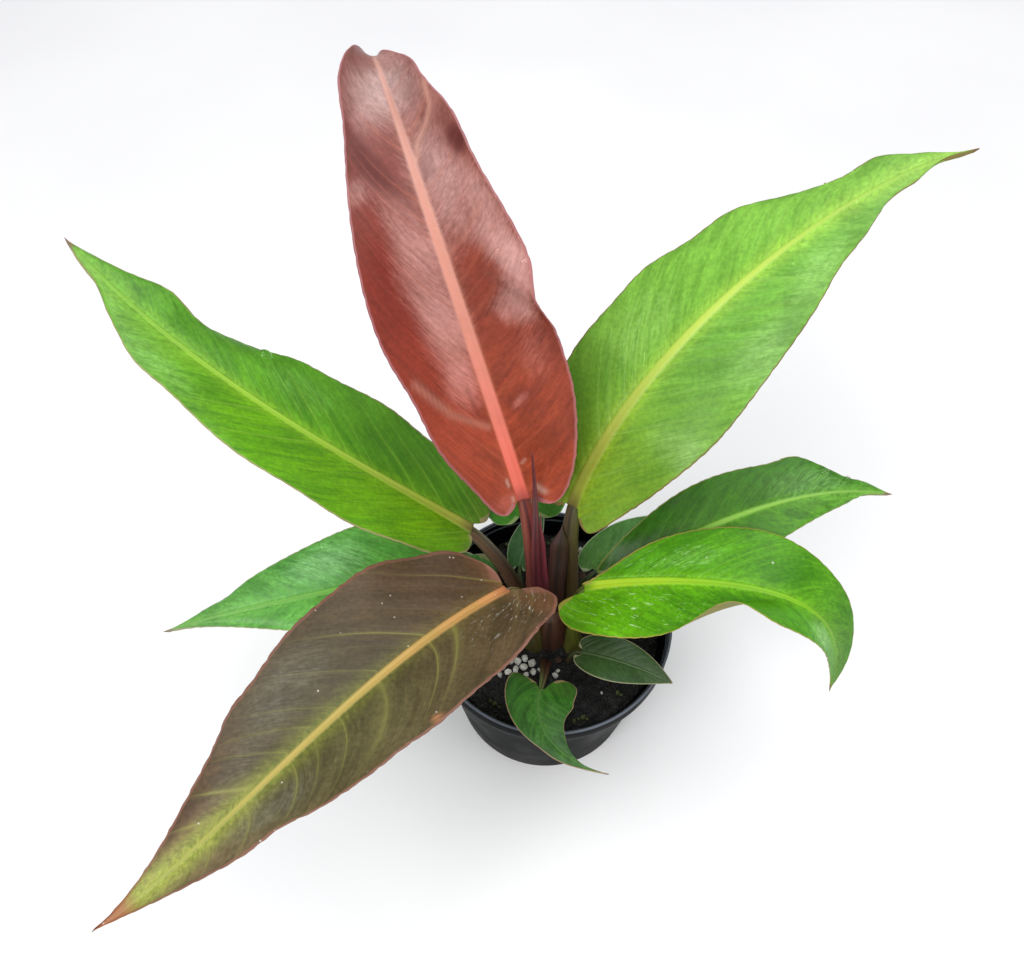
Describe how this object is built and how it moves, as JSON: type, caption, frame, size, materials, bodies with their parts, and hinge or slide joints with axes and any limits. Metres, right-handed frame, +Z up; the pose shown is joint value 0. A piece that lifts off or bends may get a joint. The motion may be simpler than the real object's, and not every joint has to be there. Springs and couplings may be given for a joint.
{
  "type": "potted houseplant",
  "caption": "Potted red sun philodendron: long glossy red, bronze and green leaves on maroon petioles, fanned out from one crown in a round black nursery pot of soil.",
  "frame": {"origin": "centre of the pot's flat underside", "axes": "+Z up through the pot's centre; -Y is the front of the plant, where the bronze leaf and the smallest leaves point; +X is to its right"},
  "size_m": [0.3723, 0.3008, 0.3383],
  "materials": {
    "pot_plastic": "satin injection-moulded black polypropylene",
    "soil": "damp dark potting mix with white perlite and bark",
    "leaf_red": "glossy waxy brick red leaf with a pink midrib",
    "leaf_green": "glossy mid green leaf with a yellow-green midrib",
    "leaf_deep_green": "glossy deep green leaf with a pale midrib",
    "leaf_bronze": "satin olive bronze leaf with an orange midrib",
    "leaf_dark": "satin dark green leaf with a thin cream margin",
    "stalk_maroon": "smooth dark maroon stalk",
    "stalk_olive": "smooth olive brown stalk"
  },
  "bodies": {
    "root": {"pot": "pot_plastic", "soil": "soil", "stem": "stalk_olive", "sheath": "stalk_maroon", "new_leaf_spear": "stalk_maroon", "petiole_red": "stalk_maroon", "leaf_red": "leaf_red", "petiole_green_right": "stalk_olive", "leaf_green_right": "leaf_green", "petiole_green_left": "stalk_olive", "leaf_green_left": "leaf_green", "petiole_bronze": "stalk_olive", "leaf_bronze": "leaf_bronze", "petiole_arched_right": "stalk_olive", "leaf_arched_right": "leaf_green", "petiole_back_right": "stalk_olive", "leaf_back_right": "leaf_deep_green", "petiole_low_left": "stalk_olive", "leaf_low_left": "leaf_green", "petiole_behind_red": "stalk_olive", "leaf_behind_red": "leaf_deep_green", "petiole_small_front": "stalk_maroon", "leaf_small_front": "leaf_dark", "petiole_small_right": "stalk_olive", "leaf_small_right": "leaf_dark", "petiole_small_back": "stalk_olive", "leaf_small_back": "leaf_dark", "petiole_grey_right": "stalk_olive", "leaf_grey_right": "leaf_dark"}
  },
  "joints": []
}
